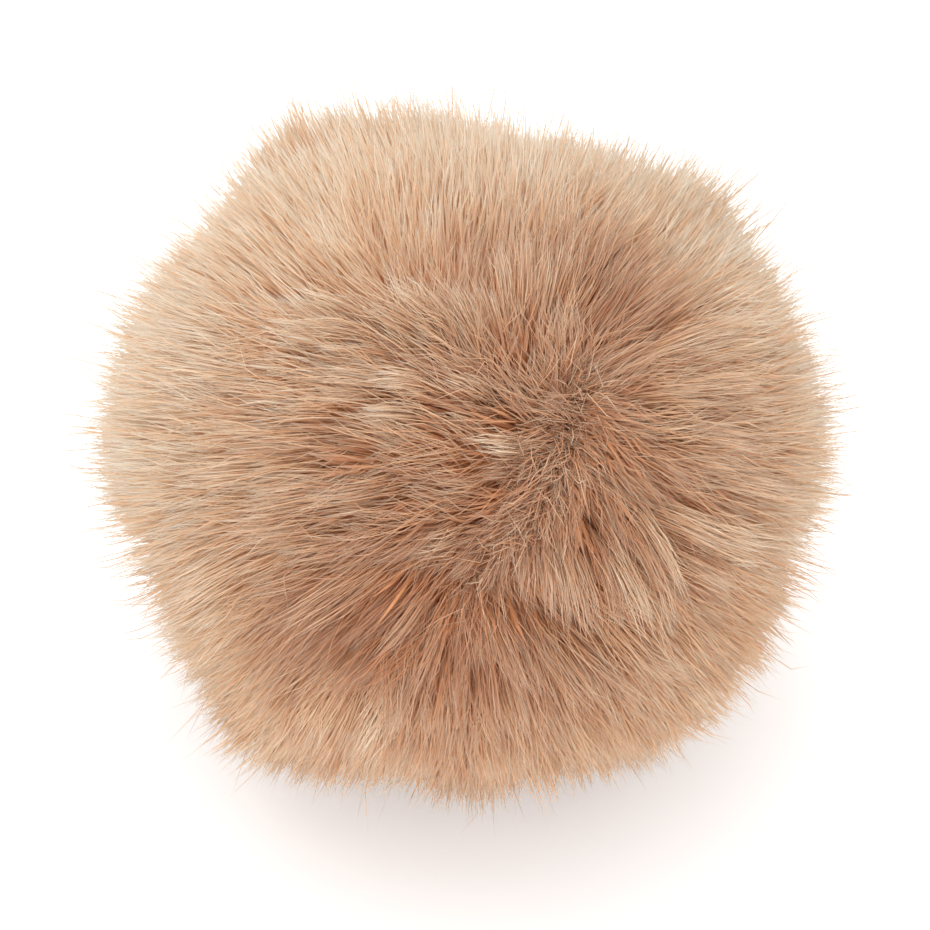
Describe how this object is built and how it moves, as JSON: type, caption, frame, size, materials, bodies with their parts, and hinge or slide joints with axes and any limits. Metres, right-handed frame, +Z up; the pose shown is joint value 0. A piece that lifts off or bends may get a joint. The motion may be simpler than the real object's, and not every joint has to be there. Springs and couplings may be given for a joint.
{
  "type": "pom pom",
  "caption": "Round faux-fur ball of long pile brushed outwards from a parting, which rests on its short, level underside; a trimming for hats, bags and keyrings.",
  "frame": {"origin": "on the surface that the pom pom stands on, under the middle of the ball", "axes": "+Z up, -Y the front with the parting in the pile, +X to the right as seen from the front"},
  "size_m": [0.1065, 0.104, 0.0919],
  "materials": {
    "faux_fur": "long soft pile, tan with pale cream tips and warm brown roots"
  },
  "bodies": {
    "root": {"fur_ball": "faux_fur"}
  },
  "joints": []
}
